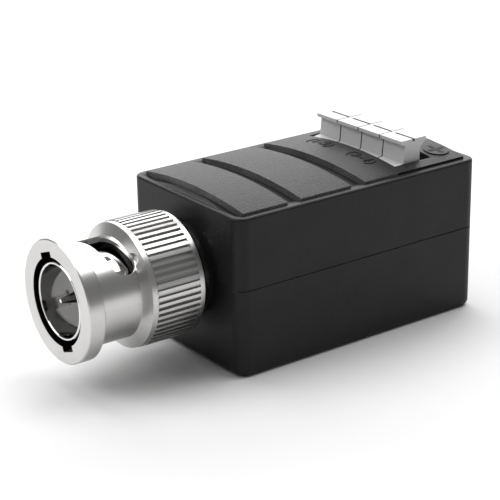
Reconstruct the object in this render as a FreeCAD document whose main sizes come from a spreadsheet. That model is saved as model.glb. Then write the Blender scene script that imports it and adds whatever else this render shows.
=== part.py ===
import FreeCAD, Part
import math
import os

import Sketcher
from FreeCAD import Placement, Rotation, Vector

# A passive video balun: a two-shell plastic box with a bayonet video plug on its front
# and a row of four push levers over spring terminals near its rear.
# Frame: X across the box, -Y out of the plug, +Z up, origin at the middle of the underside.
# Lengths are in millimetres, angles in degrees.

SIZES = {
    # Box
    "housing_width": 21.2,
    "housing_length": 35.4,
    "lower_shell_height": 10.4,
    "upper_shell_height": 8.5,
    "shell_wall": 1.5,
    "corner_radius": 1.5,
    "underside_edge_radius": 0.8,
    "rim_edge_radius": 0.3,
    "seam_chamfer": 0.08,
    "lip_height": 0.8,
    "lip_thickness": 0.6,
    "assembly_gap": 0.1,
    # Arched panels on the lid
    "panel_width": 19.2,
    "panel_side_rise": 0.27,
    "panel_crown": 0.8,
    "panel_step": 0.75,
    "panel_groove_half_width": 8.3,
    "panel_front_margin": 1.4,
    "panel_apron": 0.75,
    "panel_one_length": 6.1,
    "panel_groove_one": 1.9,
    "panel_two_length": 7.2,
    "panel_groove_two": 2.1,
    "panel_three_length": 15.3,
    "polarity_disc_radius": 1.55,
    "polarity_disc_rise": 0.1,
    "polarity_disc_x": 6.6,
    "polarity_disc_rear_margin": 3.1,
    # Round boss that carries the plug
    "boss_radius": 5.6,
    "boss_height": 0.5,
    "neck_clearance": 0.15,
    # Plug body, along its own axis from the box's front face
    "neck_radius": 4.6,
    "flange_radius": 6.6,
    "flange_flat": 6.0,
    "flange_thickness": 1.4,
    "hub_radius": 3.2,
    "hub_length": 1.65,
    "neck_length": 4.9,
    "shoulder_radius": 6.0,
    "shoulder_length": 3.3,
    "sleeve_radius": 4.45,
    "sleeve_wall": 0.32,
    "sleeve_seat_depth": 2.6,
    "sleeve_length": 10.95,
    "press_clearance": 0.02,
    "insulator_radius": 2.95,
    "insulator_projection": 5.65,
    "pin_radius": 0.675,
    "pin_tip_radius": 0.22,
    "pin_tip_length": 2.0,
    "pin_recess": 0.2,
    "pin_tail_radius": 0.5,
    "pin_tail_length": 3.1,
    "gasket_height": 1.0,
    "gasket_thickness": 0.35,
    "lug_thickness": 0.3,
    "lug_width": 1.5,
    "lug_tongue_length": 3.8,
    "lug_tongue_width": 1.1,
    # Bayonet coupling nut
    "nut_rear_gap": 2.0,
    "nut_bore_radius": 5.07,
    "nut_cavity_radius": 6.25,
    "nut_step_clearance": 0.1,
    "nut_rim_radius": 7.1,
    "nut_rim_length": 0.7,
    "grip_radius": 7.3,
    "grip_length": 5.6,
    "flute_count": 60,
    "flute_width": 0.42,
    "flute_depth": 0.35,
    "grip_band_radius": 7.2,
    "grip_band_length": 0.7,
    "nut_cone_length": 0.6,
    "nut_barrel_radius": 5.83,
    "nut_barrel_length": 5.3,
    "nut_flange_radius": 7.07,
    "nut_flange_length": 1.95,
    "nut_edge_chamfer": 0.12,
    "cam_width": 2.8,
    "cam_chamfer": 0.2,
    "cam_lead": 5.2,
    "cam_sweep_angle": 63.0,
    "cam_detent_height": 1.0,
    "cam_detent_angle": 47.0,
    "stud_groove_width": 2.2,
    "stud_groove_radius": 5.6,
    # Washers and ring behind the shoulder
    "ring_thickness": 0.4,
    "ring_height": 1.3,
    "ring_groove_depth": 0.35,
    "ring_opening_angle": 50.0,
    "washer_thickness": 0.5,
    "washer_clearance": 0.06,
    "spring_washer_clearance": 0.15,
    "spring_washer_thickness": 0.25,
    "spring_washer_rise": 0.25,
    "running_gap": 0.05,
    # Circuit board and what it carries
    "board_thickness": 1.2,
    "board_side_gap": 0.25,
    "board_front": 5.3,
    "board_rear_gap": 0.6,
    "ledge_width": 1.0,
    "rib_thickness": 1.0,
    "rib_hole_radius": 4.9,
    "core_radius": 3.6,
    "core_hole_radius": 1.8,
    "core_height": 3.6,
    "core_chamfer": 0.35,
    "core_side_gap": 0.8,
    "core_from_front": 14.1,
    "choke_radius": 2.6,
    "choke_hole_radius": 1.3,
    "choke_height": 2.6,
    "choke_side_gap": 1.2,
    "choke_from_front": 15.7,
    "wire_thickness": 0.35,
    "wire_turn_count": 9,
    "winding_angle": 130.0,
    "winding_slack": 0.03,
    "arrester_cap_radius": 1.4,
    "arrester_radius": 1.15,
    "arrester_length": 5.0,
    "arrester_cap_length": 1.0,
    "arrester_side_gap": 0.6,
    "arrester_from_front": 9.1,
    "resistor_length": 3.2,
    "resistor_width": 1.6,
    "resistor_height": 0.6,
    "resistor_x": 1.9,
    "resistor_pitch": 2.1,
    "resistor_from_front": 9.8,
    "capacitor_length": 5.0,
    "capacitor_width": 2.4,
    "capacitor_height": 4.1,
    "capacitor_chamfer": 0.4,
    "capacitor_side_gap": 1.6,
    "capacitor_from_front": 8.2,
    # Spring terminals
    "pole_pitch": 3.95,
    "block_side_gap": 0.4,
    "bay_front_gap": 0.5,
    "block_front_wall": 1.0,
    "block_rear_wall": 1.5,
    "block_floor": 1.0,
    "bay_width": 3.0,
    "nose_height": 3.1,
    "nose_lift": 1.1,
    "nose_recess": 0.2,
    "wire_hole_radius": 1.1,
    "wire_funnel": 0.35,
    "window_side_gap": 0.15,
    "window_length": 5.7,
    "window_rear_margin": 5.2,
    "contact_thickness": 0.5,
    "contact_width": 2.4,
    "contact_length": 6.0,
    "tail_width": 0.8,
    "tail_depth": 0.6,
    "tail_reach": 0.8,
    "spring_thickness": 0.3,
    "spring_width": 2.2,
    # Push levers
    "lever_gap": 0.16,
    "lever_tab_height": 3.25,
    "lever_tab_depth": 3.9,
    "lever_tab_thickness": 0.42,
    "lever_tab_front": 1.15,
    "lever_foot_depth": 4.05,
    "lever_foot_front": 0.05,
    "lever_foot_height": 1.1,
    "lever_stem_depth": 2.3,
    "lever_arm_depth": 3.2,
    "lever_arm_width": 2.84,
    "lever_toe_drop": 1.6,
    "lever_line_width": 0.22,
    "lever_line_depth": 0.25,
    "lever_line_margin": 0.55,
    "pivot_drop": 3.5,
    "pivot_back": 1.8,
    "pivot_radius": 0.6,
    "pivot_clearance": 0.05,
    "pivot_reach": 0.3,
}


class Size:
    """A named size, or a sum of named sizes: its number, and its text as an expression."""

    def __init__(self, value, text):
        self.value = float(value)
        self.text = text

    def __add__(self, other):
        other = as_size(other)
        return Size(self.value + other.value, f"({self.text} + {other.text})")

    def __sub__(self, other):
        other = as_size(other)
        return Size(self.value - other.value, f"({self.text} - {other.text})")

    def __mul__(self, other):
        other = as_size(other)
        return Size(self.value * other.value, f"({self.text} * {other.text})")

    def __truediv__(self, other):
        other = as_size(other)
        return Size(self.value / other.value, f"({self.text} / {other.text})")

    def __neg__(self):
        return Size(-self.value, f"(-{self.text})")

    def __radd__(self, other):
        return as_size(other) + self

    def __rsub__(self, other):
        return as_size(other) - self

    def __rmul__(self, other):
        return as_size(other) * self


def as_size(value):
    return value if isinstance(value, Size) else Size(value, repr(float(value)))


def root(size):
    return Size(math.sqrt(size.value), f"sqrt({size.text})")


def cosine(angle):
    return Size(math.cos(math.radians(angle.value)), f"cos({angle.text})")


def sine(angle):
    return Size(math.sin(math.radians(angle.value)), f"sin({angle.text})")


class SizeSheet:
    """The driving dimensions, kept in a spreadsheet and read back by name."""

    def __init__(self, document, sizes):
        self.sheet = document.addObject("Spreadsheet::Sheet", "Sizes")
        for row, (alias, value) in enumerate(sizes.items(), start=1):
            self.sheet.set(f"A{row}", alias)
            self.sheet.set(f"B{row}", str(value))
            self.sheet.setAlias(f"B{row}", alias)
        document.recompute()

    def __getattr__(self, alias):
        return Size(self.sheet.get(alias), f"Sizes.{alias}")


doc = FreeCAD.newDocument("video_balun")
S = SizeSheet(doc, SIZES)

# Sizes that several pieces share
HALF_WIDTH = S.housing_width / 2
HALF_LENGTH = S.housing_length / 2
AXIS_HEIGHT = S.lower_shell_height
LID_HEIGHT = S.lower_shell_height + S.upper_shell_height
INNER_HALF_WIDTH = HALF_WIDTH - S.shell_wall
INNER_HALF_LENGTH = HALF_LENGTH - S.shell_wall
CEILING = LID_HEIGHT - S.shell_wall
NECK_HOLE_RADIUS = S.neck_radius + S.neck_clearance

# Stations along the plug, measured forward from the box's front face
FLANGE_FRONT = -S.shell_wall
FLANGE_BACK = FLANGE_FRONT - S.flange_thickness
HUB_BACK = FLANGE_BACK - S.hub_length
RIB_FRONT = FLANGE_BACK - S.assembly_gap
SHOULDER_BACK = S.neck_length
SHOULDER_FRONT = SHOULDER_BACK + S.shoulder_length
SLEEVE_BACK = SHOULDER_FRONT - S.sleeve_seat_depth
SLEEVE_FRONT = SLEEVE_BACK + S.sleeve_length
INSULATOR_FRONT = SLEEVE_BACK + S.insulator_projection
GRIP_BACK = S.nut_rear_gap + S.nut_rim_length
GRIP_FRONT = GRIP_BACK + S.grip_length
BAND_FRONT = GRIP_FRONT + S.grip_band_length
BARREL_BACK = BAND_FRONT + S.nut_cone_length
BARREL_FRONT = BARREL_BACK + S.nut_barrel_length
NUT_FRONT = BARREL_FRONT + S.nut_flange_length
CAM_DETENT = BARREL_BACK + S.cam_detent_height
RING_BACK = S.nut_rear_gap + S.nut_rim_length / 2 - S.running_gap
RING_FRONT = RING_BACK + S.ring_thickness
WASHER_BACK = RING_FRONT + S.running_gap
WASHER_FRONT = WASHER_BACK + S.washer_thickness

# Levels of the board and the terminals
BOARD_TOP = AXIS_HEIGHT - S.pin_tail_radius
BOARD_BOTTOM = BOARD_TOP - S.board_thickness
BAY_FLOOR = BOARD_TOP + S.block_floor
CONTACT_TOP = BAY_FLOOR + S.contact_thickness
WIRE_HEIGHT = CONTACT_TOP + S.wire_hole_radius
BLOCK_TOP = CEILING - S.assembly_gap
BLOCK_REAR = INNER_HALF_LENGTH - S.assembly_gap
BAY_REAR = BLOCK_REAR - S.block_rear_wall
POLES = 4
ROW_HALF_WIDTH = S.pole_pitch * POLES / 2
WINDOW_HALF_WIDTH = ROW_HALF_WIDTH + S.window_side_gap
WINDOW_REAR = HALF_LENGTH - S.window_rear_margin
WINDOW_FRONT = WINDOW_REAR - S.window_length
PIVOT_Y = WINDOW_FRONT + S.pivot_back
PIVOT_Z = LID_HEIGHT - S.pivot_drop
ARM_FRONT = PIVOT_Y - S.pivot_radius * 2
BAY_FRONT = ARM_FRONT - S.bay_front_gap
BLOCK_FRONT = BAY_FRONT - S.block_front_wall

# Arch of the lid's panels
PANEL_HALF_WIDTH = S.panel_width / 2
CREST = LID_HEIGHT + S.panel_side_rise + S.panel_crown
ARCH_RADIUS = ((PANEL_HALF_WIDTH * PANEL_HALF_WIDTH + S.panel_crown * S.panel_crown)
               / (S.panel_crown * 2))
PANEL_ONE_FRONT = -HALF_LENGTH + S.panel_front_margin
PANEL_ONE_REAR = PANEL_ONE_FRONT + S.panel_one_length
PANEL_TWO_FRONT = PANEL_ONE_REAR + S.panel_groove_one
PANEL_TWO_REAR = PANEL_TWO_FRONT + S.panel_two_length
PANEL_THREE_FRONT = PANEL_TWO_REAR + S.panel_groove_two
PANEL_THREE_REAR = PANEL_THREE_FRONT + S.panel_three_length


def arch_height(x):
    """Height of the arched panels at a distance x from the middle."""
    return CREST - ARCH_RADIUS + root(ARCH_RADIUS * ARCH_RADIUS - x * x)


def bind(thing, name, size):
    """Ties a property to the sheet."""
    thing.setExpression(name, as_size(size).text)


def place(thing, at, rotation=None):
    """Puts an object at a point whose coordinates follow the sheet."""
    at = [as_size(value) for value in at]
    thing.Placement = Placement(Vector(*(value.value for value in at)), rotation or Rotation())
    for axis, value in zip("xyz", at):
        bind(thing, f"Placement.Base.{axis}", value)


def new_body(label):
    body = doc.addObject("PartDesign::Body", label)
    body.Label = label
    body.AllowCompound = True
    return body


def origin_feature(body, role):
    return next(item for item in body.Origin.OriginFeatures if item.Role == role)


def new_sketch(body, role, lift=0, turn=None):
    """A sketch on one of the body's own planes, lifted along the plane's normal.

    turn, in degrees, swings the plane about the sketch's vertical axis.
    """
    sketch = body.newObject("Sketcher::SketchObject", f"{body.Label}_sketch")
    sketch.AttachmentSupport = (origin_feature(body, role), [""])
    sketch.MapMode = "FlatFace"
    if turn is not None:
        sketch.AttachmentOffset = Placement(Vector(), Rotation(Vector(0, 1, 0), turn.value))
        bind(sketch, "AttachmentOffset.Rotation.Angle", turn)
    bind(sketch, "AttachmentOffset.Base.z", lift)
    return sketch


def hold(sketch, kind, geometry, point, size):
    """Fixes one coordinate of a point of the sketch, measured from its origin."""
    size = as_size(size)
    index = sketch.addConstraint(Sketcher.Constraint(kind, -1, 1, geometry, point, size.value))
    sketch.setExpression(f"Constraints[{index}]", size.text)


def set_radius(sketch, geometry, size):
    size = as_size(size)
    index = sketch.addConstraint(Sketcher.Constraint("Radius", geometry, size.value))
    sketch.setExpression(f"Constraints[{index}]", size.text)


def draw_outline(sketch, corners):
    """A closed outline of straight lines through corners that follow the sheet."""
    corners = [(as_size(x), as_size(y)) for x, y in corners]
    lines = []
    for index, (x, y) in enumerate(corners):
        x_next, y_next = corners[(index + 1) % len(corners)]
        line = Part.LineSegment(Vector(x.value, y.value, 0), Vector(x_next.value, y_next.value, 0))
        lines.append(sketch.addGeometry(line, False))
    for index, line in enumerate(lines):
        following = lines[(index + 1) % len(lines)]
        sketch.addConstraint(Sketcher.Constraint("Coincident", line, 2, following, 1))
    for line, (x, y) in zip(lines, corners):
        hold(sketch, "DistanceX", line, 1, x)
        hold(sketch, "DistanceY", line, 1, y)


def draw_circle(sketch, x, y, radius):
    x, y, radius = as_size(x), as_size(y), as_size(radius)
    circle = Part.Circle(Vector(x.value, y.value, 0), Vector(0, 0, 1), radius.value)
    index = sketch.addGeometry(circle, False)
    hold(sketch, "DistanceX", index, 3, x)
    hold(sketch, "DistanceY", index, 3, y)
    set_radius(sketch, index, radius)


def draw_arched(sketch, half_width, end_height, radius, corners):
    """An outline whose first side is an arch; corners lead from its left end to its right end."""
    half_width, end_height, radius = as_size(half_width), as_size(end_height), as_size(radius)
    corners = [(as_size(x), as_size(y)) for x, y in corners]
    drop = math.sqrt(radius.value ** 2 - half_width.value ** 2)
    spread = math.asin(half_width.value / radius.value)
    circle = Part.Circle(Vector(0, end_height.value - drop, 0), Vector(0, 0, 1), radius.value)
    arch = sketch.addGeometry(
        Part.ArcOfCircle(circle, math.pi / 2 - spread, math.pi / 2 + spread), False)
    path = [(-half_width, end_height)] + corners + [(half_width, end_height)]
    lines = []
    for (x, y), (x_next, y_next) in zip(path, path[1:]):
        line = Part.LineSegment(Vector(x.value, y.value, 0), Vector(x_next.value, y_next.value, 0))
        lines.append(sketch.addGeometry(line, False))
    sketch.addConstraint(Sketcher.Constraint("Coincident", arch, 2, lines[0], 1))
    for line, following in zip(lines, lines[1:]):
        sketch.addConstraint(Sketcher.Constraint("Coincident", line, 2, following, 1))
    sketch.addConstraint(Sketcher.Constraint("Coincident", lines[-1], 2, arch, 1))
    for line, (x, y) in zip(lines, path):
        hold(sketch, "DistanceX", line, 1, x)
        hold(sketch, "DistanceY", line, 1, y)
    hold(sketch, "DistanceX", lines[-1], 2, half_width)
    hold(sketch, "DistanceY", lines[-1], 2, end_height)
    set_radius(sketch, arch, radius)


def grow(body, feature):
    """Recomputes after a feature and makes sure that it is sound and changed the body."""
    before = body.Shape.Volume if body.Shape.Solids else 0.0
    body.Tip = feature
    doc.recompute()
    if "Invalid" in feature.State or "Error" in feature.State or feature.Shape.isNull():
        raise RuntimeError(f"{body.Label}: {feature.Name} failed")
    if abs(feature.Shape.Volume - before) < 1e-6:
        raise RuntimeError(f"{body.Label}: {feature.Name} changed nothing")
    return feature


def extrude(body, sketch, length, kind="Pad", back=False, both=False):
    feature = body.newObject(f"PartDesign::{kind}", f"{body.Label}_{kind.lower()}")
    feature.Profile = sketch
    feature.Reversed = back
    feature.Midplane = both
    bind(feature, "Length", length)
    sketch.Visibility = False
    return grow(body, feature)


def pad(body, sketch, length, **options):
    return extrude(body, sketch, length, "Pad", **options)


def pocket(body, sketch, length, **options):
    return extrude(body, sketch, length, "Pocket", **options)


def turned(body, profile):
    """A turned piece: the profile's corners are (radius, height) about the body's Z axis."""
    sketch = new_sketch(body, "XZ_Plane")
    draw_outline(sketch, profile)
    feature = body.newObject("PartDesign::Revolution", f"{body.Label}_turning")
    feature.Profile = sketch
    feature.ReferenceAxis = (sketch, ["V_Axis"])
    feature.Angle = 360
    return grow(body, feature)


def box(body, low, high, cut=False):
    """A block between two corners, added to the body or cut from it."""
    kind = "Subtractive" if cut else "Additive"
    low = [as_size(value) for value in low]
    high = [as_size(value) for value in high]
    feature = body.newObject(f"PartDesign::{kind}Box", f"{body.Label}_{kind.lower()}_box")
    for name, start, end in zip(("Length", "Width", "Height"), low, high):
        bind(feature, name, end - start)
    place(feature, low)
    return grow(body, feature)


def cylinder(body, at, radius, length, rotation=None, cut=False, angle=360):
    kind = "Subtractive" if cut else "Additive"
    feature = body.newObject(f"PartDesign::{kind}Cylinder", f"{body.Label}_{kind.lower()}_cylinder")
    bind(feature, "Radius", radius)
    bind(feature, "Height", length)
    feature.Angle = angle
    place(feature, at, rotation)
    return grow(body, feature)


def dress(body, kind, size, chosen):
    """A fillet or chamfer on the edges of the body's last feature that chosen picks."""
    last = body.Tip
    names = [f"Edge{index}" for index, edge in enumerate(last.Shape.Edges, start=1) if chosen(edge)]
    if not names:
        raise RuntimeError(f"{body.Label}: no edge for the {kind.lower()}")
    feature = body.newObject(f"PartDesign::{kind}", f"{body.Label}_{kind.lower()}")
    feature.Base = (last, names)
    bind(feature, "Radius" if kind == "Fillet" else "Size", size)
    return grow(body, feature)


def upright(edge):
    """True for a straight edge along Z."""
    return isinstance(edge.Curve, Part.Line) and abs(edge.Curve.Direction.z) > 0.999


def level(edge, height):
    """True for an edge that lies at one height."""
    bounds = edge.BoundBox
    return abs(bounds.ZMin - height.value) < 1e-4 and abs(bounds.ZMax - height.value) < 1e-4


def repeat_around(body, originals, count):
    """Copies features evenly about the body's Z axis."""
    feature = body.newObject("PartDesign::PolarPattern", f"{body.Label}_pattern")
    feature.Originals = originals
    feature.Axis = (origin_feature(body, "Z_Axis"), [""])
    feature.Angle = 360
    bind(feature, "Occurrences", count)
    return grow(body, feature)


# Rotation that lays a turned piece's own Z axis along the plug, pointing out of the box
ALONG_PLUG = Rotation(Vector(1, 0, 0), 90)
# Rotation that lays a cylinder along +Y, and one that lays it along +X
ALONG_Y = Rotation(Vector(1, 0, 0), -90)
ALONG_X = Rotation(Vector(0, 1, 0), 90)


def on_plug_axis(body):
    """Moves a turned piece from its own frame to the plug's place on the box."""
    place(body, (0, -HALF_LENGTH, AXIS_HEIGHT), ALONG_PLUG)


def is_outer(edge):
    """True for an edge on the box's outer walls or on their rounded corners."""
    bounds = edge.BoundBox
    margin = S.corner_radius.value + 1e-4
    along_side = min(abs(bounds.XMin), abs(bounds.XMax)) > HALF_WIDTH.value - margin
    along_end = min(abs(bounds.YMin), abs(bounds.YMax)) > HALF_LENGTH.value - margin
    touches_side = max(abs(bounds.XMin), abs(bounds.XMax)) > HALF_WIDTH.value - 1e-4
    touches_end = max(abs(bounds.YMin), abs(bounds.YMax)) > HALF_LENGTH.value - 1e-4
    return (touches_side or touches_end) and (along_side or along_end)


def shell_block(body, bottom, height):
    """The outer block of one shell, with rounded upright edges."""
    sketch = new_sketch(body, "XY_Plane", bottom)
    draw_outline(sketch, ((-HALF_WIDTH, -HALF_LENGTH), (HALF_WIDTH, -HALF_LENGTH),
                          (HALF_WIDTH, HALF_LENGTH), (-HALF_WIDTH, HALF_LENGTH)))
    pad(body, sketch, height)
    dress(body, "Fillet", S.corner_radius, upright)


def plug_seat(body, lower):
    """Half of the boss, the rib and the round openings that hold the plug body."""
    front = Rotation(Vector(1, 0, 0), 90)
    half = front * Rotation(Vector(0, 0, 1), 180 if lower else 0)
    cylinder(body, (0, -HALF_LENGTH + S.shell_wall / 2, AXIS_HEIGHT), S.boss_radius,
             S.boss_height + S.shell_wall / 2, half, angle=180)
    rib_y = -HALF_LENGTH - RIB_FRONT
    rib_low, rib_high = (S.shell_wall, AXIS_HEIGHT) if lower else (AXIS_HEIGHT, CEILING)
    box(body, (-INNER_HALF_WIDTH, rib_y, rib_low),
        (INNER_HALF_WIDTH, rib_y + S.rib_thickness, rib_high))
    cylinder(body, (0, -HALF_LENGTH + S.shell_wall * 1.5, AXIS_HEIGHT), NECK_HOLE_RADIUS,
             S.shell_wall * 2 + S.boss_height, front, cut=True)
    cylinder(body, (0, rib_y + S.rib_thickness * 2, AXIS_HEIGHT), S.rib_hole_radius,
             S.rib_thickness * 3, front, cut=True)


def lower_shell():
    body = new_body("housing_bottom")
    # Tray with a rounded underside and a fine chamfer along the seam
    shell_block(body, as_size(0), S.lower_shell_height)
    dress(body, "Fillet", S.underside_edge_radius, lambda edge: level(edge, as_size(0)))
    box(body, (-INNER_HALF_WIDTH, -INNER_HALF_LENGTH, S.shell_wall),
        (INNER_HALF_WIDTH, INNER_HALF_LENGTH, S.lower_shell_height), cut=True)
    dress(body, "Chamfer", S.seam_chamfer,
          lambda edge: level(edge, S.lower_shell_height) and is_outer(edge))
    # Lip that locates the upper shell, cut away at the plug and behind the wire holes
    lip_x = INNER_HALF_WIDTH + S.lip_thickness
    lip_y = INNER_HALF_LENGTH + S.lip_thickness
    lip_top = S.lower_shell_height + S.lip_height
    sketch = new_sketch(body, "XY_Plane", S.lower_shell_height)
    for x, y in ((lip_x, lip_y), (INNER_HALF_WIDTH, INNER_HALF_LENGTH)):
        draw_outline(sketch, ((-x, -y), (x, -y), (x, y), (-x, y)))
    pad(body, sketch, S.lip_height)
    box(body, (-S.boss_radius, -HALF_LENGTH, S.lower_shell_height),
        (S.boss_radius, -INNER_HALF_LENGTH + S.shell_wall, lip_top), cut=True)
    gap = WINDOW_HALF_WIDTH + S.assembly_gap * 2
    box(body, (-gap, INNER_HALF_LENGTH - S.shell_wall, S.lower_shell_height),
        (gap, HALF_LENGTH, lip_top), cut=True)
    plug_seat(body, lower=True)
    # On each side, a ledge under the board and a stop beside the plug body's flat
    ledge_front = -HALF_LENGTH - RIB_FRONT + S.rib_thickness
    for side in (-1, 1):
        inner = (INNER_HALF_WIDTH - S.ledge_width) * side
        outer = INNER_HALF_WIDTH * side
        left, right = (inner, outer) if side > 0 else (outer, inner)
        box(body, (left, ledge_front, S.shell_wall), (right, INNER_HALF_LENGTH, BOARD_BOTTOM))
        stop = (S.flange_flat + S.assembly_gap) * side
        left, right = (stop, outer) if side > 0 else (outer, stop)
        box(body, (left, -INNER_HALF_LENGTH, S.shell_wall),
            (right, -HALF_LENGTH - RIB_FRONT, AXIS_HEIGHT))
    return body


def groove_outline(sketch):
    """Section of the material taken out between the panels: an arched floor, open at the top."""
    end = S.panel_groove_half_width
    top = CREST + S.panel_step
    draw_arched(sketch, end, arch_height(end) - S.panel_step, ARCH_RADIUS,
                ((-PANEL_HALF_WIDTH, LID_HEIGHT), (-PANEL_HALF_WIDTH - S.assembly_gap, LID_HEIGHT),
                 (-PANEL_HALF_WIDTH - S.assembly_gap, top), (PANEL_HALF_WIDTH + S.assembly_gap, top),
                 (PANEL_HALF_WIDTH + S.assembly_gap, LID_HEIGHT), (PANEL_HALF_WIDTH, LID_HEIGHT)))


def upper_shell():
    body = new_body("housing_top")
    shell_block(body, S.lower_shell_height, S.upper_shell_height)
    dress(body, "Fillet", S.rim_edge_radius, lambda edge: level(edge, LID_HEIGHT))
    # Arched slab, then the grooves that part it into three panels
    apron_front = PANEL_ONE_FRONT - S.panel_apron
    sketch = new_sketch(body, "XZ_Plane", -PANEL_THREE_REAR)
    draw_arched(sketch, PANEL_HALF_WIDTH, LID_HEIGHT + S.panel_side_rise, ARCH_RADIUS,
                ((-PANEL_HALF_WIDTH, CEILING), (PANEL_HALF_WIDTH, CEILING)))
    pad(body, sketch, PANEL_THREE_REAR - apron_front)
    for rear, length in ((PANEL_ONE_FRONT, S.panel_apron), (PANEL_TWO_FRONT, S.panel_groove_one),
                         (PANEL_THREE_FRONT, S.panel_groove_two)):
        sketch = new_sketch(body, "XZ_Plane", -rear)
        groove_outline(sketch)
        pocket(body, sketch, length, back=True)
    # The apron before the first panel slopes down to the rim
    floor_crest = CREST - S.panel_step
    sketch = new_sketch(body, "YZ_Plane", -HALF_WIDTH)
    draw_outline(sketch, ((apron_front - S.assembly_gap, LID_HEIGHT), (apron_front, LID_HEIGHT),
                          (PANEL_ONE_FRONT, floor_crest), (PANEL_ONE_FRONT, floor_crest + S.panel_step),
                          (apron_front - S.assembly_gap, floor_crest + S.panel_step)))
    pocket(body, sketch, S.housing_width, back=True)
    # Hollow inside, with a rebate for the lower shell's lip
    box(body, (-INNER_HALF_WIDTH, -INNER_HALF_LENGTH, S.lower_shell_height),
        (INNER_HALF_WIDTH, INNER_HALF_LENGTH, CEILING), cut=True)
    rebate_x = INNER_HALF_WIDTH + S.lip_thickness + S.assembly_gap
    rebate_y = INNER_HALF_LENGTH + S.lip_thickness + S.assembly_gap
    box(body, (-rebate_x, -rebate_y, S.lower_shell_height),
        (rebate_x, rebate_y, S.lower_shell_height + S.lip_height + S.assembly_gap), cut=True)
    dress(body, "Chamfer", S.seam_chamfer,
          lambda edge: level(edge, S.lower_shell_height) and is_outer(edge))
    plug_seat(body, lower=False)
    # Window over the levers and window behind the wire holes
    box(body, (-WINDOW_HALF_WIDTH, WINDOW_FRONT, CEILING - S.assembly_gap),
        (WINDOW_HALF_WIDTH, WINDOW_REAR, CREST), cut=True)
    nose_low = BOARD_TOP + S.nose_lift - S.assembly_gap
    gap = WINDOW_HALF_WIDTH + S.assembly_gap
    box(body, (-gap, INNER_HALF_LENGTH - S.assembly_gap, nose_low),
        (gap, HALF_LENGTH, nose_low + S.nose_height + S.assembly_gap * 2), cut=True)
    # Raised disc for the polarity mark, lying along the arch
    disc_y = HALF_LENGTH - S.polarity_disc_rear_margin
    slope = math.degrees(math.asin(S.polarity_disc_x.value / ARCH_RADIUS.value))
    cylinder(body, (S.polarity_disc_x, disc_y, arch_height(S.polarity_disc_x) - S.shell_wall / 2),
             S.polarity_disc_radius, S.polarity_disc_rise + S.shell_wall / 2,
             Rotation(Vector(0, 1, 0), slope))
    return body


def connector_body():
    """The turned body of the plug: hub, square-sided flange, neck, shoulder and sleeve seat."""
    body = new_body("connector_body")
    bore = S.insulator_radius + S.press_clearance
    seat = S.sleeve_radius + S.press_clearance
    turned(body, ((bore, HUB_BACK), (S.hub_radius, HUB_BACK), (S.hub_radius, FLANGE_BACK),
                  (S.flange_radius, FLANGE_BACK), (S.flange_radius, FLANGE_FRONT),
                  (S.neck_radius, FLANGE_FRONT), (S.neck_radius, SHOULDER_BACK),
                  (S.shoulder_radius, SHOULDER_BACK), (S.shoulder_radius, SHOULDER_FRONT),
                  (seat, SHOULDER_FRONT), (seat, SLEEVE_BACK), (bore, SLEEVE_BACK)))
    for side in (-1, 1):
        flat, edge = S.flange_flat * side, S.flange_radius * side
        left, right = (flat, edge) if side > 0 else (edge, flat)
        box(body, (left, -S.flange_radius, FLANGE_BACK),
            (right, S.flange_radius, FLANGE_FRONT), cut=True)
    dress(body, "Chamfer", S.nut_edge_chamfer,
          lambda edge: isinstance(edge.Curve, Part.Circle)
          and abs(edge.Curve.Radius - S.shoulder_radius.value) < 1e-4)
    on_plug_axis(body)
    return body


def contact_sleeve():
    body = new_body("contact_sleeve")
    inside = S.sleeve_radius - S.sleeve_wall
    nose = S.sleeve_wall / 2
    turned(body, ((inside, SLEEVE_BACK), (S.sleeve_radius, SLEEVE_BACK),
                  (S.sleeve_radius, SLEEVE_FRONT - nose / 2), (S.sleeve_radius - nose / 2, SLEEVE_FRONT),
                  (inside + nose / 2, SLEEVE_FRONT), (inside, SLEEVE_FRONT - nose / 2)))
    on_plug_axis(body)
    return body


def plug_dielectric():
    body = new_body("plug_dielectric")
    hole = S.pin_radius + S.press_clearance
    head = S.sleeve_radius - S.sleeve_wall - S.press_clearance
    turned(body, ((hole, HUB_BACK), (S.insulator_radius, HUB_BACK), (S.insulator_radius, SLEEVE_BACK),
                  (head, SLEEVE_BACK), (head, INSULATOR_FRONT), (hole, INSULATOR_FRONT)))
    on_plug_axis(body)
    return body


def centre_pin():
    body = new_body("centre_pin")
    tip = SLEEVE_FRONT - S.pin_recess
    turned(body, ((0, HUB_BACK - S.pin_tail_length), (S.pin_tail_radius, HUB_BACK - S.pin_tail_length),
                  (S.pin_tail_radius, HUB_BACK), (S.pin_radius, HUB_BACK),
                  (S.pin_radius, tip - S.pin_tip_length), (S.pin_tip_radius, tip), (0, tip)))
    on_plug_axis(body)
    return body


def plug_gasket():
    body = new_body("plug_gasket")
    inside = S.sleeve_radius + S.press_clearance
    outside = inside + S.gasket_thickness
    top = SHOULDER_FRONT + S.gasket_height
    turned(body, ((inside, SHOULDER_FRONT), (outside, SHOULDER_FRONT), (outside, top), (inside, top)))
    on_plug_axis(body)
    return body


def ground_lug():
    """A ring behind the flange with a tongue that lies on the board."""
    body = new_body("ground_lug")
    inside = S.hub_radius + S.running_gap
    back = FLANGE_BACK - S.lug_thickness
    turned(body, ((inside, back), (inside + S.lug_width, back), (inside + S.lug_width, FLANGE_BACK),
                  (inside, FLANGE_BACK)))
    right = inside + S.lug_tongue_width
    foot = BOARD_TOP - AXIS_HEIGHT
    box(body, (inside, foot, back - S.lug_tongue_length), (right, foot + S.lug_thickness, FLANGE_BACK))
    on_plug_axis(body)
    return body


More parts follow.
